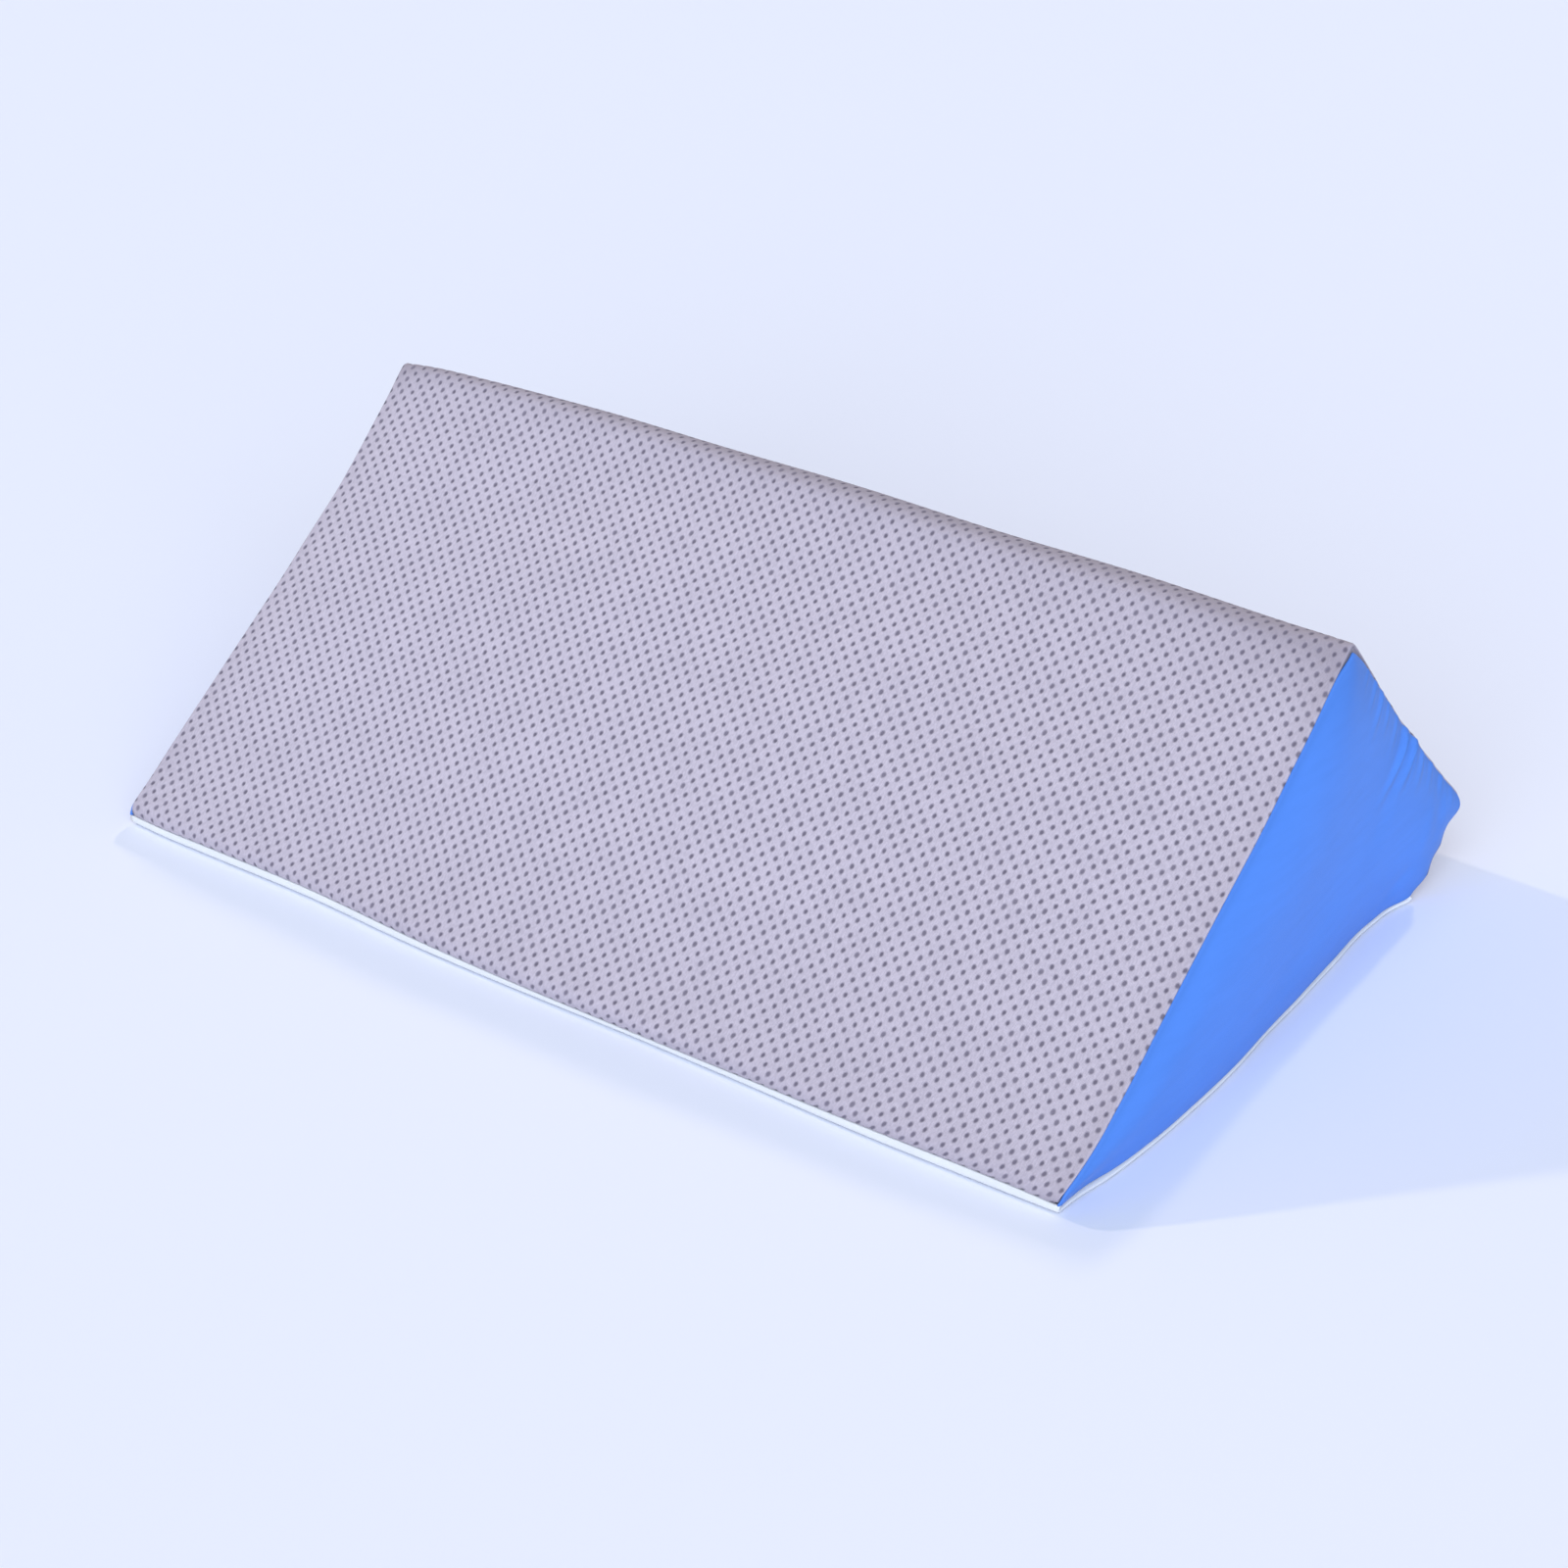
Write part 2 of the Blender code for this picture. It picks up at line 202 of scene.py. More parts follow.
def wrapLine(place):   # front seam, toe, slope, ridge, back, heel, tuck
    belt = beltAt(place)
    swell = 1 - abs(2 * place - 1) ** 3
    toe = arc(belt["toe"], wedge["toeRadius"], belt["frontSeam"], belt["front"], 16)
    ridge = arc(belt["ridge"], belt["ridgeRadius"], belt["front"], belt["back"], 28)
    heel = arc(belt["heel"], wedge["heelRadius"], belt["back"], belt["underHeel"], 20)
    end = arc(belt["tuck"], wedge["tuckRadius"], belt["underHeel"], belt["underHeel"], 1)
    slope = stretch(toe[-1], ridge[0], belt["front"], wedge["slopeCrown"] * swell, 60)
    back = stretch(ridge[-1], heel[0], belt["back"], wedge["backCrown"] * swell, 50)
    heelFace = stretch(heel[-1], end[0], belt["underHeel"], wedge["heelCrown"], 14)
    return np.concatenate((toe, slope, ridge, back, heel, heelFace, end))


def floorLine(place, inward, seamGap, soleCount=40):   # tuck, floor, and the rim at the front
    belt = beltAt(place)
    depth = inward / step
    tuckEnd = belt["underHeel"] - (seamGap + wedge["tuckMitre"] * depth) / wedge["tuckRadius"]
    down = -math.pi / 2
    tuck = arc(belt["tuck"], wedge["tuckRadius"] - inward, tuckEnd, down, 8)
    frontY = belt["toe"][0] + wedge["toeRadius"] * math.cos(belt["frontSeam"])
    rimCentre = (frontY + wedge["rimRadius"], wedge["rimRadius"])
    rim = arc(rimCentre, wedge["rimRadius"] - inward, 2 * math.pi + down, math.pi, 7)
    top = np.array([(frontY + inward, belt["seam"] - seamGap - wedge["rimMitre"] * depth)])
    rise = stretch(rim[-1], top[0], math.pi, 0.0, 3)
    return np.concatenate((tuck, stretch(tuck[-1], rim[0], down, 0.0, soleCount), rim, rise, top))


def lengths(line):   # how far along each point is, from 0 to 1, and the whole length
    travelled = np.concatenate(([0], np.cumsum(np.linalg.norm(np.diff(line, axis=0), axis=1))))
    return travelled / travelled[-1], travelled[-1]


def evenly(line, count):   # the same line with evenly spaced points
    share, _ = lengths(line)
    at = np.linspace(0, 1, count)
    return np.stack([np.interp(at, share, column) for column in line.T], 1)


class Section:
    # a cloth's section at many places, where any point of the flat cloth finds its own

    def __init__(self, lineAt, places=151, samples=1201):
        lines = [lineAt(i / (places - 1)) for i in range(places)]
        self.girth = float(np.mean([lengths(line)[1] for line in lines]))
        self.points = np.stack([evenly(line, samples) for line in lines])

    def at(self, place, share):
        rows, columns = self.points.shape[0] - 1, self.points.shape[1] - 1
        i = np.clip((place * rows).astype(int), 0, rows - 1)
        j = np.clip((share * columns).astype(int), 0, columns - 1)
        s = np.clip(place * rows - i, 0, 1)[:, None]
        t = np.clip(share * columns - j, 0, 1)[:, None]
        low = self.points[i, j] * (1 - s) + self.points[i + 1, j] * s
        high = self.points[i, j + 1] * (1 - s) + self.points[i + 1, j + 1] * s
        run = high - low
        run /= np.linalg.norm(run, axis=1)[:, None]
        return low * (1 - t) + high * t, np.stack((-run[:, 1], run[:, 0]), 1)


def unevenness(x, y, size, seed, waves=7):   # long waves that cross, as over soft filling
    rng = np.random.default_rng(seed)
    total = np.zeros_like(x)
    for _ in range(waves):
        heading, phase = rng.uniform(0, math.pi), rng.uniform(0, 2 * math.pi)
        wave = size * rng.uniform(0.7, 1.6)
        along = x * math.cos(heading) + y * math.sin(heading)
        total += np.sin(along * 2 * math.pi / wave + phase)
    return total / waves ** 0.5


def folds(across, up, rows):   # short soft creases: from, to, width and depth in mm
    faint, most = 0.12, 0.80   # a fold is faint where it starts and fainter where it ends
    total = np.zeros_like(across)
    for x0, y0, x1, y1, width, depth in rows:
        start = np.array((x0, y0)) * mm
        run = np.array((x1 - x0, y1 - y0)) * mm
        offset = np.stack((across, up), 1) - start
        share = np.clip(offset @ run / (run @ run), 0, 1)
        away = np.linalg.norm(offset - share[:, None] * run, axis=1)
        total += depth * mm * bell(away, width * mm) * np.sin(math.pi * (faint + most * share))
    return total


def newObject(name, bm, material):
    mesh = bpy.data.meshes.new(name)
    bm.to_mesh(mesh)
    bm.free()
    mesh.materials.append(material)
    mesh.shade_smooth()
    made = bpy.data.objects.new(name, mesh)
    bpy.context.scene.collection.objects.link(made)
    return made


def nextRing(bm, ring, points):   # extrudes a closed ring of vertices to these points
    edges = [next(e for e in ring[i].link_edges if e.other_vert(ring[i]) is ring[i - 1])
             for i in range(len(ring))]
    made = bmesh.ops.extrude_edge_only(bm, edges=edges)["geom"]
    new = {v for v in made if isinstance(v, bmesh.types.BMVert)}
    following = []
    for vert, point in zip(ring, points):
        mate = next(e.other_vert(vert) for e in vert.link_edges if e.other_vert(vert) in new)
        mate.co = point
        following.append(mate)
    return following


def orderedRing(edges):   # the vertices of a closed ring of edges, in order
    edges = dict.fromkeys(edges)
    edge = next(iter(edges))
    ring = [edge.verts[0]]
    while edges:
        del edges[edge]
        ring.append(edge.other_vert(ring[-1]))
        edge = next((e for e in ring[-1].link_edges if e in edges), None)
    return ring[:-1]


# How far the wrap laps over the ends' edges, in mm: everywhere, more down the first part of the
# back seam, and at the tip of the ridge. It fades over this share of the wrap near its long edges
lap = {"edge": 1.1, "back": 0.9, "backReach": 46, "tip": 2.4, "tipReach": 11, "fade": 0.005}

ends = {
    "outlineCount": 620, "rimSteps": 5, "ringCount": 42, "ringPower": 1.6, "ringReach": 0.97,
    "crownPower": 2.2, "uneven": 0.40 * mm, "unevenSize": 0.075,
    "seeds": {"left": 4, "right": 3}, "calmEdge": 6,
    # gathers at the back seam: share down it, width, reach and rise in mm, degrees below level
    "gathers": {
        "right": (
            (0.13, 2.2, 14, 0.6, 25), (0.21, 2.4, 20, 1.0, 26), (0.28, 2.8, 28, 1.4, 28),
            (0.36, 2.6, 20, 1.0, 28), (0.45, 2.8, 24, 1.0, 28), (0.535, 3.2, 46, 2.6, 28),
            (0.605, 3.0, 34, 2.2, 29), (0.69, 3.2, 24, 1.2, 33), (0.77, 2.8, 18, 0.8, 38),
            (0.86, 3.0, 18, 0.7, 46), (0.94, 2.6, 13, 0.4, 56)),
        "left": (
            (0.16, 2.6, 18, 0.7, 27), (0.29, 2.6, 24, 1.0, 29), (0.41, 3.0, 36, 1.6, 31),
            (0.55, 3.2, 30, 1.3, 33), (0.66, 3.4, 44, 2.0, 35), (0.80, 3.0, 26, 1.2, 44),
            (0.91, 2.8, 20, 0.8, 56)),
    },
    # where the row of gathers starts and ends, beside the ridge's tip and the heel
    "gatherTop": (0.003, -0.004), "gatherFoot": (-0.001, 0.004),
    # how they are scaled, widen, die out, start at the seam, swing and lean
    "gatherScale": 1.35, "gatherSpread": 0.6, "gatherFade": 1.3, "gatherSeam": 0.4,
    "gatherStart": 6, "gatherSwing": 1.9, "gatherLean": 0.35,
    # soft hollows, in mm behind the toe and up: from, to, width, depth
    "hollows": {
        "right": (
            (300, 34, 306, 62, 4.5, 0.9), (288, 30, 296, 52, 5, -0.6),
            (262, 14, 284, 26, 6, 0.8), (236, 58, 262, 92, 8, 0.6),
            (120, 18, 210, 42, 11, 0.6), (40, 22, 120, 74, 7, -0.4)),
        "left": (
            (298, 34, 306, 60, 4.5, 0.8), (230, 50, 258, 88, 9, 0.7),
            (110, 20, 200, 46, 11, 0.6)),
    },
    # how much darker the cloth is painted everywhere, then painted shade as a share and a width in
    # mm for the seam's edge, the face beside it and the ridge's tip, and painted shade and painted
    # highlight on the gathers' two sides
    "shade": 0.1, "shadeSeam": (0.75, 3.5), "shadeBeside": (0.45, 20), "shadeTip": (0.6, 32),
    "shadeGathers": 0.9, "gatherStep": (0.9, -1.2), "gatherSlope": 0.9, "gatherLight": -0.8,
}


def fadeAtEnds(share):   # of the lap, near the wrap's long edges
    return np.clip(share / lap["fade"], 0, 1) * np.clip((1 - share) / lap["fade"], 0, 1)


def endOutline(side):
    # the closed outline, the part of the lap at each point, and the inward directions
    place = 0.0 if side == "left" else 1.0
    over, under = wrapLine(place), floorLine(place, step, 0.0)
    share, _ = lengths(over)
    over = np.column_stack((over, fadeAtEnds(share)))
    under = np.column_stack((under, np.zeros(len(under))))
    line = np.concatenate((over, under, over[:1]))
    share, _ = lengths(line[:, :2])
    at = np.linspace(0, 1, ends["outlineCount"] + 1)[:-1]
    line = np.stack([np.interp(at, share, column) for column in line.T], 1)
    run = np.roll(line[:, :2], -1, axis=0) - np.roll(line[:, :2], 1, axis=0)
    run /= np.linalg.norm(run, axis=1)[:, None]
    return line[:, :2], line[:, 2], np.stack((run[:, 1], -run[:, 0]), 1)


def ridgeTip():
    return np.array((wedge["ridgeY"], wedge["ridgeZ"]))


def lappedOutline(side):
    line, part, inward = endOutline(side)
    fromTip = line - ridgeTip()
    away = np.linalg.norm(fromTip, axis=1) / mm
    back = np.clip(1 - away / lap["backReach"], 0, 1) * (fromTip[:, 0] > 0)
    width = (lap["edge"] + lap["back"] * np.sqrt(back)) * part
    drawn = lap["tip"] * bell(away, lap["tipReach"]) * part
    toMiddle = endMiddle() - line
    toMiddle /= np.linalg.norm(toMiddle, axis=1)[:, None]
    return line + inward * width[:, None] * mm + toMiddle * drawn[:, None] * mm


def endSides():   # the four straight sides of an end, each as a point and an inward direction
    belt = beltAt(1.0)
    corners = []
    for centre, radius, normal in ((belt["ridge"], belt["ridgeRadius"], belt["front"]),
                                   (belt["ridge"], belt["ridgeRadius"], belt["back"]),
                                   (belt["heel"], wedge["heelRadius"], belt["underHeel"]),
                                   (belt["tuck"], wedge["tuckRadius"], -math.pi / 2)):
        out = np.array((math.cos(normal), math.sin(normal)))
        corners.append((np.array(centre) + radius * out, -out))
    return corners


def depthFromSides(points):   # how far in a point is, rounding off between the sides
    total = np.zeros(len(points))
    for corner, inward in endSides():
        total += 1 / np.maximum((points - corner) @ inward, 1e-5) ** 2
    return total ** -0.5


deepest = float(depthFromSides(np.array([(y, z) for y in np.arange(0.0, 0.12, 0.004)
                                         for z in np.arange(0.03, 0.1, 0.004)])).max())


def seamBetween(side, points):   # the seam's level, carried across the face by nearness
    line, _, _ = endOutline(side)
    level = seamX(side, line[:, 0], line[:, 1])
    found = np.empty(len(points))
    atOnce = 3000
    for first in range(0, len(points), atOnce):
        part = points[first:first + atOnce]
        apart = ((part[:, None, :] - line[None]) ** 2).sum(2)
        weight = (apart + 1e-9) ** -1.5
        found[first:first + atOnce] = (weight * level).sum(1) / weight.sum(1)
    return found


def gatherRise(side, points):   # pinched folds from the back seam, dying out across the face
    top = ridgeTip() + np.array(ends["gatherTop"])
    foot = np.array((wedge["heelY"], wedge["heelZ"])) + np.array(ends["gatherFoot"])
    total = np.zeros(len(points))
    for share, width, reach, rise, fall in ends["gathers"][side]:
        heading = np.array((-math.cos(math.radians(fall)), -math.sin(math.radians(fall))))
        offset = points - top - share * (foot - top)
        away = offset @ heading / (reach * mm)
        across = (offset[:, 0] * heading[1] - offset[:, 1] * heading[0]) / (width * mm)
        across = across / (1 + ends["gatherSpread"] * np.clip(away, 0, 1))
        fade = np.clip(1 - away, 0, 1) ** ends["gatherFade"]
        fade = fade * np.clip(ends["gatherSeam"] + ends["gatherStart"] * away, 0, 1)
        swing = np.cos(ends["gatherSwing"] * across - ends["gatherLean"])
        total += rise * mm * bell(across, 1) * swing * fade
    return total * ends["gatherScale"]


def endFace(side, points):   # how far out, along X, an end's outer face lies
    depth = np.clip(depthFromSides(points) / deepest, 0, 1)
    crown = wedge["endCrown"] * (1 - (1 - depth) ** ends["crownPower"])
    y, z = points.T
    swell = ends["uneven"] * unevenness(y, z, ends["unevenSize"], ends["seeds"][side])
    hollow = folds(y - wedge["toeY"], z, ends["hollows"][side])
    inside = np.clip(depth * ends["calmEdge"], 0, 1)
    shape = crown + (swell - hollow) * inside + gatherRise(side, points)
    return seamBetween(side, points) + outwards[side] * shape


def endMiddle():
    return np.array((wedge["ridgeY"] - wedge["endMiddleBefore"], wedge["endMiddleZ"]))


def facePoints(side, points, drop):   # on an end's face, or this far behind it
    level = endFace(side, points) - outwards[side] * drop
    return [Vector((x, *point)) for x, point in zip(level, points)]


def makeEnd(side, material):
    line = lappedOutline(side)
    _, _, inward = endOutline(side)
    middle = endMiddle()
    radius = wedge["cloth"] / 2
    bm = bmesh.new()
    start = [bm.verts.new(point) for point in facePoints(side, line, radius)]
    for i in range(len(start)):
        bm.edges.new((start[i - 1], start[i]))
    edge = line + inward * radius
    for outer in (True, False):
        ring = start
        for i in range(1, ends["rimSteps"] + 1):   # the turned edge, half a circle in all
            turn = math.pi / 2 * i / ends["rimSteps"]
            flat = line + inward * radius * (1 - math.cos(turn))
            drop = radius * (1 - math.sin(turn) if outer else 1 + math.sin(turn))
            ring = nextRing(bm, ring, facePoints(side, flat, drop))
        drop = 0 if outer else wedge["cloth"]
        for i in range(1, ends["ringCount"]):
            share = (i / ends["ringCount"]) ** ends["ringPower"] * ends["ringReach"]
            ring = nextRing(bm, ring, facePoints(side, edge + share * (middle - edge), drop))
        last = facePoints(side, middle[None], drop)[0]
        bmesh.ops.pointmerge(bm, verts=ring, merge_co=last)
    bmesh.ops.recalc_face_normals(bm, faces=bm.faces[:])
    made = newObject(f"end_{side}", bm, material)
    flat = np.array([v.co[:] for v in made.data.vertices])[:, 1:]
    deep = depthFromSides(flat)
    # painted shade in the "drawn" attribute: darker at the seam's edge, beside it and at the ridge's
    # tip, darker on one side of each gather and lighter on the other, as light would fall
    shade = np.full(len(flat), ends["shade"])
    for (most, width), away in ((ends["shadeSeam"], deep), (ends["shadeBeside"], deep),
                                (ends["shadeTip"], np.linalg.norm(flat - ridgeTip(), axis=1))):
        shade += most * bell(away, width * mm)
    fall = gatherRise(side, flat) - gatherRise(side, flat + np.array(ends["gatherStep"]) * mm)
    shade += ends["shadeGathers"] * np.clip(fall / (ends["gatherSlope"] * mm),
                                            ends["gatherLight"], 1)
    drawn = made.data.attributes.new("drawn", "FLOAT", "POINT")
    drawn.data.foreach_set("value", np.clip(shade, 0, 1))
    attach(made, "root")
    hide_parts(f"blue_end_{side}")


wrap = {
    # the dots' cells: their size, how the cloth is turned, where they start, and how much
    # further apart they are at the left than at the right
    "cellWide": 8.02 * mm, "cellHigh": 7.61 * mm, "phase": (-0.09, -0.33), "pull": 0.02,
    # rows of the mesh round the wedge, and columns that they drift by on the way: with whole
    # numbers of both, the last row meets the first
    "stepsPerCell": 4, "rowsRound": 287, "columnsDrift": 8, "capRings": 9, "near": 0.03 * mm,
    "dimpleDepth": 0.42 * mm, "dimpleRadius": 2.1 * mm, "dimpleEdge": 2 * mm,
    "edgeRoll": 1.1 * mm, "sideInset": 0.15 * mm, "behindEnd": 0.35 * mm,
    "edgeCuts": (0.15 * mm, 0.5 * mm, 1.0 * mm, 1.5 * mm), "turnUnder": 0.3 * mm,
    "uneven": 0.30 * mm, "unevenSize": 0.11, "unevenSeed": 11, "calmEdge": 0.03,
    "soleLift": 0.5 * mm, "soleCount": 60, "capPower": 1.5,
    # in mm along and up from the front left
    "creases": ((573, 31, 596, 27, 2.2, 0.55), (575, 27, 594, 23, 1.8, -0.35),
                (598, 285, 589, 268, 1.5, -0.60), (596, 40, 588, 52, 3.0, 0.35),
                (4, 284, 16, 268, 2.2, -0.40), (6, 14, 22, 24, 2.6, 0.35)),
    "ridgePoint": 90,   # of a section's points, the one in the middle of the ridge
    # painted shade, each as a share and a width in mm, how much darker the cloth is painted: along
    # the ridge, on the faces beside it, at the toe, low on the slope, beside the ends, round the
    # ridge's right end and at its tip, and how much more in all towards the right
    "shadeBehind": 3, "shadeRidge": (0.90, 11), "shadeFaces": (0.30, 30), "shadeToe": (0.40, 7),
    "shadeLow": (0.14, 70), "shadeSides": (0.25, 9), "shadeRight": (0.50, 32),
    "shadeTip": (0.7, 4), "tipStretch": 2.2, "shadeAcross": 0.12,
}
wrapTurn = math.atan2(wrap["columnsDrift"] * wrap["cellWide"], wrap["rowsRound"] * wrap["cellHigh"])
wrapTotal = wrap["rowsRound"] * wrap["cellHigh"] / wrap["stepsPerCell"] / math.cos(wrapTurn)


def toLattice(across, up):
    turn = wrapTurn
    u = (across * math.cos(turn) + up * math.sin(turn)) / wrap["cellWide"] + wrap["phase"][0]
    v = (up * math.cos(turn) - across * math.sin(turn)) / wrap["cellHigh"] + wrap["phase"][1]
    return u, v


def dotDimples(u, v):   # from 0 to 1: a dot at each cell's corner and middle
    deep = np.zeros_like(u)
    for shift in (0.0, 0.5):
        du = (u + shift + 0.5) % 1 - 0.5
        dv = (v + shift + 0.5) % 1 - 0.5
        away = np.hypot(du * wrap["cellWide"], dv * wrap["cellHigh"]) / wrap["dimpleRadius"]
        deep = np.maximum(deep, np.clip(1 - away ** 2, 0, 1))
    return deep


def wrapGrid(girth):   # the flat cloth, with its rows along the rows of dots
    corners = [toLattice(x, y) for x in (0, wedge["length"]) for y in (0, wrapTotal)]
    low = [math.floor(min(c[i] for c in corners)) for i in (0, 1)]
    wide, high = (math.ceil(max(c[i] for c in corners)) - low[i] for i in (0, 1))
    steps = wrap["stepsPerCell"]
    bm = bmesh.new()
    bmesh.ops.create_grid(bm, x_segments=wide * steps, y_segments=high * steps, size=0.5)
    bmesh.ops.translate(bm, vec=(0.5, 0.5, 0), verts=bm.verts)
    bmesh.ops.scale(bm, vec=(wide, high, 1), verts=bm.verts)
    start = (low[0] - wrap["phase"][0], low[1] - wrap["phase"][1], 0)
    bmesh.ops.translate(bm, vec=start, verts=bm.verts)
    bmesh.ops.scale(bm, vec=(wrap["cellWide"], wrap["cellHigh"], 1), verts=bm.verts)
    bmesh.ops.rotate(bm, cent=(0, 0, 0), matrix=Matrix.Rotation(wrapTurn, 3, "Z"), verts=bm.verts)

    def cut(point, normal, clearOuter=False):
        geometry = bm.verts[:] + bm.edges[:] + bm.faces[:]
        bmesh.ops.bisect_plane(bm, geom=geometry, dist=wrap["near"], plane_co=point, plane_no=normal,
                               clear_outer=clearOuter)

    cut((0, 0, 0), (-1, 0, 0), clearOuter=True)
    cut((wedge["length"], 0, 0), (1, 0, 0), clearOuter=True)
    cut((0, 0, 0), (0, -1, 0), clearOuter=True)
    cut((0, wrapTotal, 0), (0, 1, 0), clearOuter=True)
    for inset in wrap["edgeCuts"]:
        cut((inset, 0, 0), (1, 0, 0))
        cut((wedge["length"] - inset, 0, 0), (1, 0, 0))
        cut((0, inset, 0), (0, 1, 0))
    cut((0, girth, 0), (0, 1, 0))
    cut((0, girth + wrap["turnUnder"], 0), (0, 1, 0))
    return bm


def rollDrop(away):   # how far the cloth turns in towards a seam that is this far away
    radius = wrap["edgeRoll"]
    near = np.clip(radius - away, 0, radius)
    return radius - np.sqrt(radius * radius - near * near)


def soleLine(place):
    return floorLine(place, step, wrap["soleLift"], wrap["soleCount"])


def makeWrap(material):
    over, under = Section(wrapLine), Section(soleLine)
    girth, length = over.girth, wedge["length"]
    near = 1.2 * wrap["near"]   # a little more than what the cuts snap to
    bm = wrapGrid(girth)
    # the painted shade is kept in the "drawn" attribute
    paintedShadeLayer = bm.verts.layers.float.new("drawn")
    across, up = np.array([vert.co[:2] for vert in bm.verts]).T
    u, v = toLattice(across, up)
    share = np.clip(across / length, 0, 1)
    place = share + wrap["pull"] * share * (1 - share)
    above = up <= girth + near
    points, normals = over.at(place, np.clip(up / girth, 0, 1))
    low, lowNormals = under.at(place, np.clip((up - girth) / (wrapTotal - girth), 0, 1))
    points[~above], normals[~above] = low[~above], lowNormals[~above]

    toSide = np.clip(np.minimum(across, length - across), 0, None)
    calm = np.ones_like(up)
    for away in (toSide, up, girth - up):
        calm *= np.clip(away / wrap["calmEdge"], 0, 1)
    drop = dotDimples(u, v) * wrap["dimpleDepth"] * np.clip(toSide / wrap["dimpleEdge"], 0, 1)
    drop += folds(across, up, wrap["creases"]) + rollDrop(np.clip(up, 0, None))
    waves = unevenness(across, up, wrap["unevenSize"], wrap["unevenSeed"])
    drop -= wrap["uneven"] * waves * calm
    drop = drop * above + rollDrop(toSide)
    points = points - normals * drop[:, None]

    # the cloth laps over the ends' edges, and underneath it stays behind them
    inset = wrap["sideInset"] + (wedge["cloth"] + wrap["behindEnd"]) * (1 - fadeAtEnds(up / girth))
    left = seamX("left", points[:, 0], points[:, 1]) + inset
    right = seamX("right", points[:, 0], points[:, 1]) - inset
    x = left + place * (right - left)
    uvLayer = bm.loops.layers.uv.new("UVMap")
    bm.verts.index_update()
    for face in bm.faces:
        for loop in face.loops:
            loop[uvLayer].uv = (u[loop.vert.index], v[loop.vert.index])
    rim = [e for e in bm.edges if e.is_boundary]
    front = [e for e in rim if max(abs(up[w.index]) for w in e.verts) < near]
    back = [e for e in rim if max(abs(up[w.index] - wrapTotal) for w in e.verts) < near]
    print("the wrap's long edges have", len(front), "and", len(back), "parts")

    # painted shade along the ridge and the faces beside it, at the toe, low on the slope, beside
    # the ends, round the ridge's right end and at its tip, and more towards the right
    ridgeUp = girth * float(lengths(wrapLine(0.5))[0][wrap["ridgePoint"]])
    behindRidge = up - ridgeUp - wrap["shadeBehind"] * mm
    fromTip = np.hypot((length - across) / wrap["tipStretch"], up - ridgeUp)
    shade = wrap["shadeAcross"] * share ** 2
    for name, away in (("Ridge", behindRidge), ("Faces", behindRidge), ("Toe", up), ("Low", up),
                       ("Sides", toSide), ("Right", fromTip), ("Tip", fromTip)):
        most, width = wrap["shade" + name]
        shade += most * bell(away, width * mm)
    for vert in bm.verts:
        i = vert.index
        vert.co = (x[i], points[i, 0], points[i, 1])
        vert[paintedShadeLayer] = min(1.0, float(shade[i]))
    bmesh.ops.bridge_loops(bm, edges=front + back)

    # the two ends of the filling, behind the blue panels
    clear, middle = wedge["cloth"] + wrap["behindEnd"], endMiddle()
    for side, outward in outwards.items():
        ring = orderedRing(e for e in bm.edges if e.is_boundary and e.verts[0].co.x * outward > 0)
        start = np.array([vert.co[1:] for vert in ring])
        for i in range(wrap["capRings"]):
            spread = start + (i / wrap["capRings"]) ** wrap["capPower"] * (middle - start)
            ring = nextRing(bm, ring, facePoints(side, spread, clear))
        last = facePoints(side, middle[None], clear)[0]
        bmesh.ops.pointmerge(bm, verts=ring, merge_co=last)
    openEdges = sum(e.is_boundary for e in bm.edges)
    bmesh.ops.recalc_face_normals(bm, faces=bm.faces[:])
    made = newObject("filled_wrap", bm, material)
    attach(made, "root")
    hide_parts("dotted_body")
    print("wrap made:", len(made.data.polygons), "faces, girth", round(girth, 4),
          "open edges", openEdges)


base = {"columns": 200, "rows": 90, "overhang": 1.6 * mm, "crowding": 0.14, "lineCount": 120}


def baseLine(place):
    return floorLine(place, 0.0, wedge["seamGap"], base["lineCount"])


def makeBase(material):
    section = Section(baseLine)
    bm = bmesh.new()
    bmesh.ops.create_grid(bm, x_segments=base["columns"], y_segments=base["rows"], size=0.5)
    flat = np.array([v.co[:2] for v in bm.verts]) + 0.5
    place = flat[:, 0]
    share = flat[:, 1] - base["crowding"] * np.sin(2 * math.pi * flat[:, 1])   # more at the ends
    points, _ = section.at(place, np.clip(share, 0, 1))
    left = seamX("left", points[:, 0], points[:, 1]) - base["overhang"]
    right = seamX("right", points[:, 0], points[:, 1]) + base["overhang"]
    x = left + place * (right - left)
    uvLayer = bm.loops.layers.uv.new("UVMap")
    bm.verts.index_update()
    for face in bm.faces:
        for loop in face.loops:
            i = loop.vert.index
            loop[uvLayer].uv = (place[i] * wedge["length"], share[i] * section.girth)
    for i, vert in enumerate(bm.verts):
        vert.co = (x[i], points[i, 0], points[i, 1])
    bmesh.ops.recalc_face_normals(bm, faces=bm.faces[:])
    if sum(face.normal.z for face in bm.faces) > 0:
        bmesh.ops.reverse_faces(bm, faces=bm.faces[:])
    made = newObject("base_cloth", bm, material)
    thick = made.modifiers.new("thickness", "SOLIDIFY")
    thick.thickness, thick.offset = wedge["cloth"], -1
    thick.use_even_offset = True
    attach(made, "root")
    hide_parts("white_base")
    print("base made:", len(made.data.polygons), "faces, girth", round(section.girth, 4))


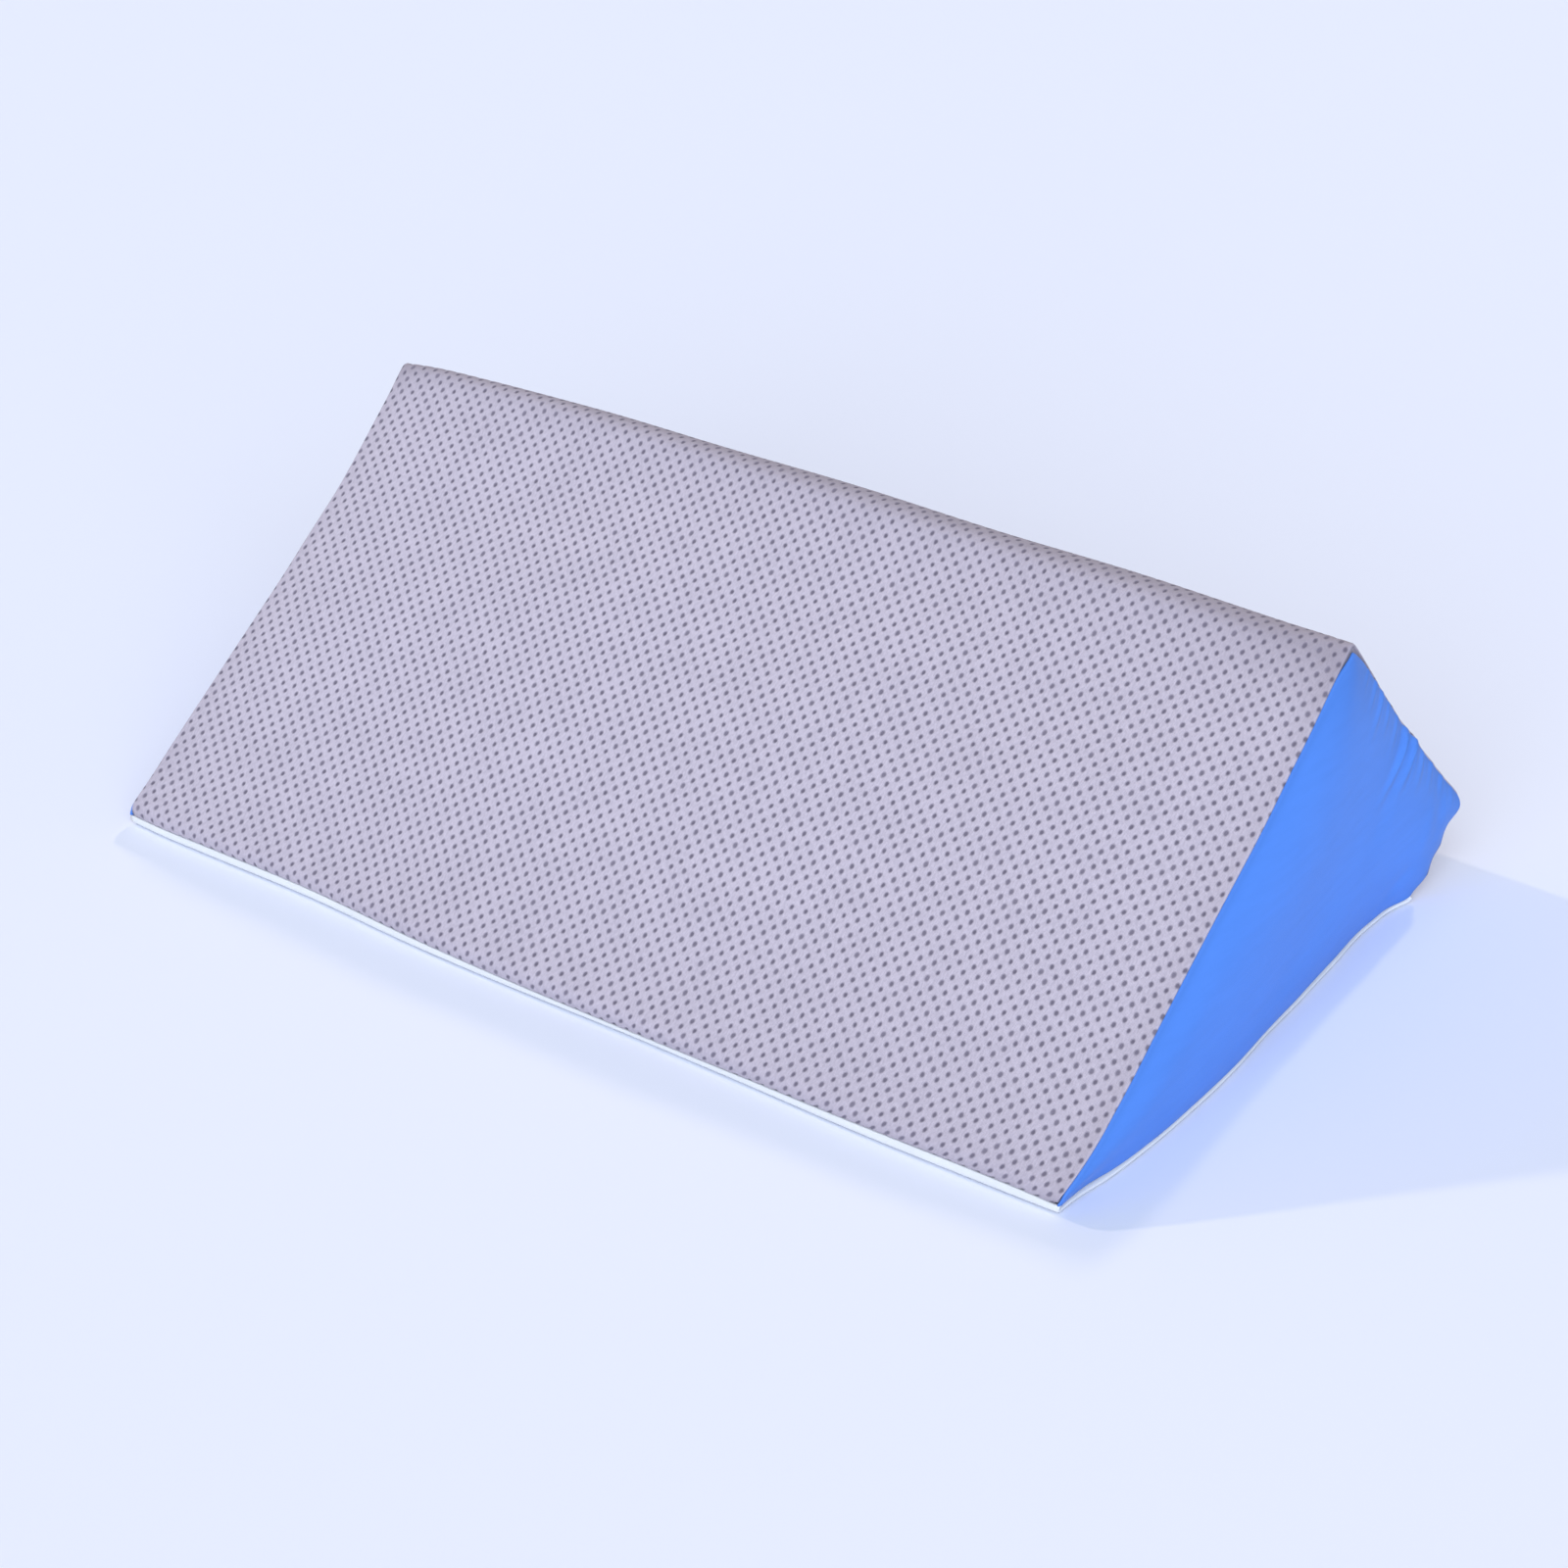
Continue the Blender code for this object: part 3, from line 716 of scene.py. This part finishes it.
class Wire:
    # a socket that Python sums can be done with

    def __init__(self, look, socket):
        self.look, self.socket = look, socket

    def output(self, name):
        return Wire(self.look, self.socket.node.outputs[name])

    def power(self, exponent):
        return self.look.sum("POWER", self, exponent)

    def least(self, other):
        return self.look.sum("MINIMUM", self, other)

    def most(self, other):
        return self.look.sum("MAXIMUM", self, other)

    def __add__(self, other):
        return self.look.sum("ADD", self, other)

    def __radd__(self, other):
        return self.look.sum("ADD", other, self)

    def __sub__(self, other):
        return self.look.sum("SUBTRACT", self, other)

    def __rsub__(self, other):
        return self.look.sum("SUBTRACT", other, self)

    def __mul__(self, other):
        return self.look.sum("MULTIPLY", self, other)

    def __rmul__(self, other):
        return self.look.sum("MULTIPLY", other, self)

    def __truediv__(self, other):
        return self.look.sum("DIVIDE", self, other)

    def __rtruediv__(self, other):
        return self.look.sum("DIVIDE", other, self)


class Look:
    # a material, built up node by node

    def __init__(self, name):
        self.material = bpy.data.materials.new(name)
        self.material.use_nodes = True
        self.tree = self.material.node_tree
        self.shader = self.tree.nodes["Principled BSDF"]

    def feed(self, socket, value):
        if isinstance(value, Wire):
            self.tree.links.new(value.socket, socket)
        else:
            socket.default_value = value

    def node(self, kind, settings=None, sockets=None, output=0):
        made = self.tree.nodes.new("ShaderNode" + kind)
        for name, value in (settings or {}).items():
            setattr(made, name, value)
        for name, value in (sockets or {}).items():
            self.feed(made.inputs[name], value)
        return Wire(self, made.outputs[output])

    def sum(self, operation, *values):
        return self.node("Math", {"operation": operation}, dict(enumerate(values)))

    def blend(self, factor, low, high):
        return self.node("Mix", {"data_type": "RGBA"}, {0: factor, 6: low, 7: high}, 2)

    def noise(self, where, scale, detail, dimensions="2D"):
        return self.node("TexNoise", {"noise_dimensions": dimensions},
                         {"Vector": where, "Scale": scale, "Detail": detail})

    def weave(self, first, second, pitch):
        turns = 2 * math.pi / pitch
        return self.sum("SINE", first * turns) * self.sum("SINE", second * turns)

    def finish(self, **values):
        for name, value in values.items():
            self.feed(self.shader.inputs[name.replace("_", " ")], value)
        return self.material


def rgb(red, green, blue):
    return (red, green, blue, 1.0)


dotted = {
    "ground": rgb(0.535, 0.478, 0.556), "pale": rgb(0.640, 0.575, 0.660),
    "deep": rgb(0.480, 0.430, 0.506), "dot": rgb(0.120, 0.104, 0.148),
    # the "drawn" colour is painted shade, blended into the ground by the "drawn" attribute
    "dotPale": rgb(0.190, 0.168, 0.222), "drawn": rgb(0.300, 0.262, 0.312),
    "dotRadius": 1.18 * mm, "dotVaries": 0.24 * mm, "dotSoft": 0.95 * mm,
    "dotTall": 1.14, "dotNarrow": 0.94, "dotLean": 0.04, "dotShare": 0.94,
    "wobble": 0.07, "wobbleScale": 2.6, "paintedShadeShare": 0.75,
    # the two noises: scale, and how they are stretched into shares between the colours
    "patches": 0.35, "patchGain": 1.6, "patchLess": 0.3,
    "flecks": 4.5, "fleckTurn": 0.35, "fleckStretch": (1.7, 0.7, 1.0),
    "fleckGain": 1.6, "fleckLess": 0.35,
    # heights of the knit, the flecks and the dots, as shares of the bump's distance
    "knitHeight": 0.5, "fleckHeight": 1.2, "dotHeight": 1.4, "bump": 0.22 * mm,
    "knitsPerCell": 9,
}


def dottedCloth():
    look = Look("dotted_cloth_look")
    uv = look.node("UVMap", {"uv_map": "UVMap"})
    wobble = look.node("TexNoise", {"noise_dimensions": "2D"},
                       {"Vector": uv, "Scale": dotted["wobbleScale"]}, "Color")
    moved = look.node("VectorMath", {"operation": "MULTIPLY_ADD"},
                      {0: wobble, 1: (dotted["wobble"], dotted["wobble"], 0), 2: uv})
    where = look.node("SeparateXYZ", None, {0: moved})
    u, v = where.output("X") - dotted["wobble"] / 2, where.output("Y") - dotted["wobble"] / 2
    mask, pale = None, None
    for shift in (0.0, 0.5):   # the dots at the cells' corners, then those at their middles
        cellU = look.sum("FLOOR", u + (shift + 0.5))
        cellV = look.sum("FLOOR", v + (shift + 0.5))
        x = (u + shift - cellU) * wrap["cellWide"]
        y = (v + shift - cellV) * wrap["cellHigh"]
        x = (x - y * dotted["dotLean"]) / dotted["dotNarrow"]
        y = y / dotted["dotTall"]
        away = look.sum("SQRT", x * x + y * y)
        cell = look.node("CombineXYZ", None, {"X": cellU, "Y": cellV, "Z": shift * 7})
        chance = look.node("TexWhiteNoise", {"noise_dimensions": "3D"}, {"Vector": cell})
        radius = chance * dotted["dotVaries"] + (dotted["dotRadius"] - dotted["dotVaries"] / 2)
        inside = ((radius - away) / dotted["dotSoft"] + 0.5).least(1.0).most(0.0)
        toned = inside * chance.power(2.0)
        mask = inside if mask is None else mask.most(inside)
        pale = toned if pale is None else pale.most(toned)
    patches = look.noise(uv, dotted["patches"], 4.0)
    slanted = look.node("Mapping", None, {"Vector": uv, "Rotation": (0, 0, dotted["fleckTurn"]),
                                          "Scale": dotted["fleckStretch"]})
    flecks = look.noise(slanted, dotted["flecks"], 2.0)
    drawn = look.node("Attribute", {"attribute_name": "drawn"}, None, "Fac")
    patchShare = patches * dotted["patchGain"] - dotted["patchLess"]
    fleckShare = ((flecks - dotted["fleckLess"]) * dotted["fleckGain"]).least(1.0).most(0.0)
    ground = look.blend(patchShare, dotted["deep"], dotted["ground"])
    ground = look.blend(fleckShare, ground, dotted["pale"])
    # painted shade: the ground darkens towards the "drawn" colour where the "drawn" attribute says
    ground = look.blend(drawn * dotted["paintedShadeShare"], ground, dotted["drawn"])
    dot = look.blend(pale, dotted["dot"], dotted["dotPale"])
    colour = look.blend(mask * dotted["dotShare"], ground, dot)
    knit = look.weave(u, v, 1 / dotted["knitsPerCell"]) * dotted["knitHeight"]
    height = knit + (flecks - 0.5) * dotted["fleckHeight"] - mask * dotted["dotHeight"]
    bump = look.node("Bump", None, {"Height": height, "Distance": dotted["bump"], "Strength": 0.7})
    return look.finish(Base_Color=colour, Normal=bump, Roughness=0.92, Sheen_Weight=0.10,
                       Sheen_Roughness=0.6, Specular_IOR_Level=0.25)


blue = {
    "deep": rgb(0.078, 0.234, 0.730), "mid": rgb(0.093, 0.276, 0.845),
    # the "drawn" colour is painted shade, blended in by the "drawn" attribute
    "drawn": rgb(0.054, 0.170, 0.530), "paintedShadeShare": 0.62, "threads": 0.55 * mm,
    # the threads' run: how it is turned and stretched, and how rough the cloth is
    "turn": (0.9, 0, 0), "stretch": (1.0, 0.12, 1.0), "rough": 0.56, "roughVaries": 0.12,
}


def blueCloth():
    look = Look("blue_cloth_look")
    where = look.node("TexCoord", None, None, "Object")
    axes = look.node("SeparateXYZ", None, {0: where})
    coarse = look.noise(where, 24.0, 3.0, "3D")
    run = look.node("Mapping", None, {"Vector": where, "Rotation": blue["turn"],
                                      "Scale": blue["stretch"]})
    streaks = look.noise(run, 260.0, 3.0, "3D")
    slubs = look.noise(run, 1100.0, 2.0, "3D")
    drawn = look.node("Attribute", {"attribute_name": "drawn"}, None, "Fac")
    share = coarse * 0.8 + streaks * 0.7 + slubs * 0.3 - 0.4
    colour = look.blend(share, blue["deep"], blue["mid"])
    # painted shade and highlight: darker towards the "drawn" colour where the "drawn" attribute says
    colour = look.blend(drawn * blue["paintedShadeShare"], colour, blue["drawn"])
    height = look.weave(axes.output("Y"), axes.output("Z"), blue["threads"]) * 0.5 + slubs * 0.6
    bump = look.node("Bump", None, {"Height": height, "Distance": 0.06 * mm, "Strength": 0.7})
    rough = coarse * blue["roughVaries"] + blue["rough"]
    return look.finish(Base_Color=colour, Roughness=rough, Normal=bump, Sheen_Weight=0.05,
                       Sheen_Roughness=0.45, Specular_IOR_Level=0.25)


white = {"deep": rgb(0.72, 0.73, 0.74), "mid": rgb(0.78, 0.79, 0.80), "threads": 0.7 * mm}


def whiteCloth():
    look = Look("white_cloth_look")
    uv = look.node("UVMap", {"uv_map": "UVMap"})
    where = look.node("SeparateXYZ", None, {0: uv})
    colour = look.blend(look.noise(uv, 40.0, 3.0), white["deep"], white["mid"])
    height = look.weave(where.output("X"), where.output("Y"), white["threads"])
    bump = look.node("Bump", None, {"Height": height, "Distance": 0.08 * mm, "Strength": 0.6})
    return look.finish(Base_Color=colour, Normal=bump, Roughness=0.85, Sheen_Weight=0.08)


stage = {
    "size": 6.0, "steps": 24, "below": 0.8 * mm,
    "floor": rgb(0.80, 0.83, 0.93), "world": rgb(0.315, 0.365, 0.450),
    "lights": {   # two lamps that cast the faint shadows, and the broad light by the camera
        "left": {"from": (-1.45, -0.12, 1.0), "power": 0.72, "angle": 2.5,
                 "colour": (1.0, 0.80, 0.60)},
        "behind": {"from": (-0.19, 1.43, 1.0), "power": 0.72, "angle": 3,
                   "colour": (1.0, 0.80, 0.60)},
        "broad": {"from": (0.55, -0.68, 0.48), "power": 3.25, "angle": 70,
                  "colour": (0.84, 0.90, 1.0)},
    },
}


def makeStage():
    bm = bmesh.new()
    bmesh.ops.create_grid(bm, x_segments=stage["steps"], y_segments=stage["steps"],
                          size=stage["size"])
    bmesh.ops.translate(bm, vec=(0, 0, -stage["below"]), verts=bm.verts)
    look = Look("floor_look")
    look.finish(Base_Color=stage["floor"], Roughness=0.9, Specular_IOR_Level=0.1)
    newObject("floor", bm, look.material)
    world = bpy.data.worlds.new("studio")
    bpy.context.scene.world = world
    world.use_nodes = True
    world.node_tree.nodes["Background"].inputs["Color"].default_value = stage["world"]
    for name, row in stage["lights"].items():
        data = bpy.data.lights.new(name, "SUN")
        data.energy, data.color = row["power"], row["colour"]
        data.angle = math.radians(row["angle"])
        light = bpy.data.objects.new(name, data)
        light.rotation_mode = "QUATERNION"
        light.rotation_quaternion = Vector(row["from"]).to_track_quat("Z", "Y")
        bpy.context.scene.collection.objects.link(light)
    bpy.context.scene.view_settings.view_transform = "Standard"
    print("floor and light made")


makeCamera()
makeStage()
blueLook = blueCloth()
makeWrap(dottedCloth())
makeEnd("left", blueLook)
makeEnd("right", blueLook)
makeBase(whiteCloth())
